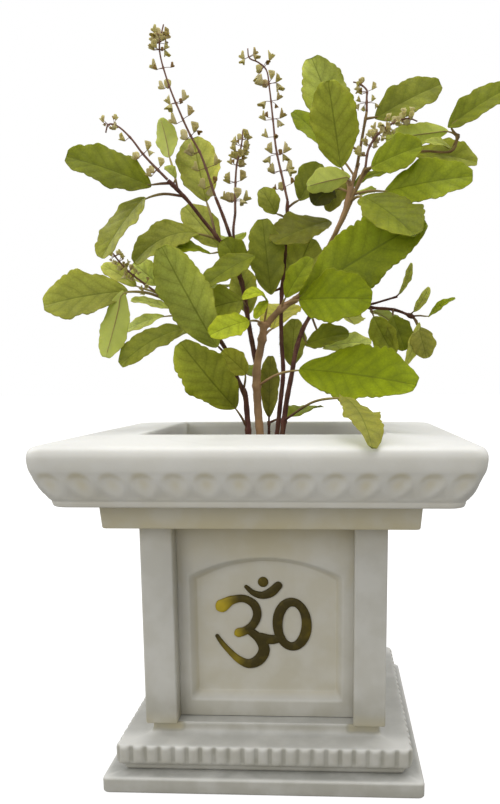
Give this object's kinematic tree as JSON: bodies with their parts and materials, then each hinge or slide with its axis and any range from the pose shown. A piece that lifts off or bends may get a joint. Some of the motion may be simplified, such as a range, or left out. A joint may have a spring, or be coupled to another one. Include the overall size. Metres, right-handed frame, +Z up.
{
  "type": "holy basil plant in a marble pot",
  "caption": "Leafy holy basil with upright flower spikes, growing in a square pedestal pot of white marble with arched panels, a wide carved rim and an Om sign.",
  "frame": {"origin": "middle of the underside of the pot's bottom slab", "axes": "+Z up along the stems, -Y the way the panel with the Om sign looks, +X to that panel's right as seen from the front"},
  "size_m": [0.2814, 0.234, 0.4386],
  "materials": {
    "marble": "honed white marble",
    "om_metal": "dark aged brass",
    "soil": "rough loose potting soil",
    "foliage": "soft matt leaf",
    "dry_flowers": "dry papery calyx"
  },
  "bodies": {
    "root": {"base_slab": "marble", "dentil_slab": "marble", "pot_body": "marble", "corner_post_front_left": "marble", "corner_post_front_right": "marble", "corner_post_back_left": "marble", "corner_post_back_right": "marble", "collar": "marble", "rim": "marble", "om_letter": "om_metal", "om_crescent": "om_metal", "om_dot": "om_metal", "soil": "soil", "middle_shoot": "foliage", "left_shoot": "foliage", "spike_shoot": "foliage", "right_shoot": "foliage", "low_shoot": "foliage", "flower_spike_1": "dry_flowers", "flower_spike_2": "dry_flowers", "flower_spike_3": "dry_flowers", "flower_spike_4": "dry_flowers", "flower_spike_5": "dry_flowers", "flower_spike_6": "dry_flowers", "flower_spike_7": "dry_flowers"}
  },
  "joints": []
}
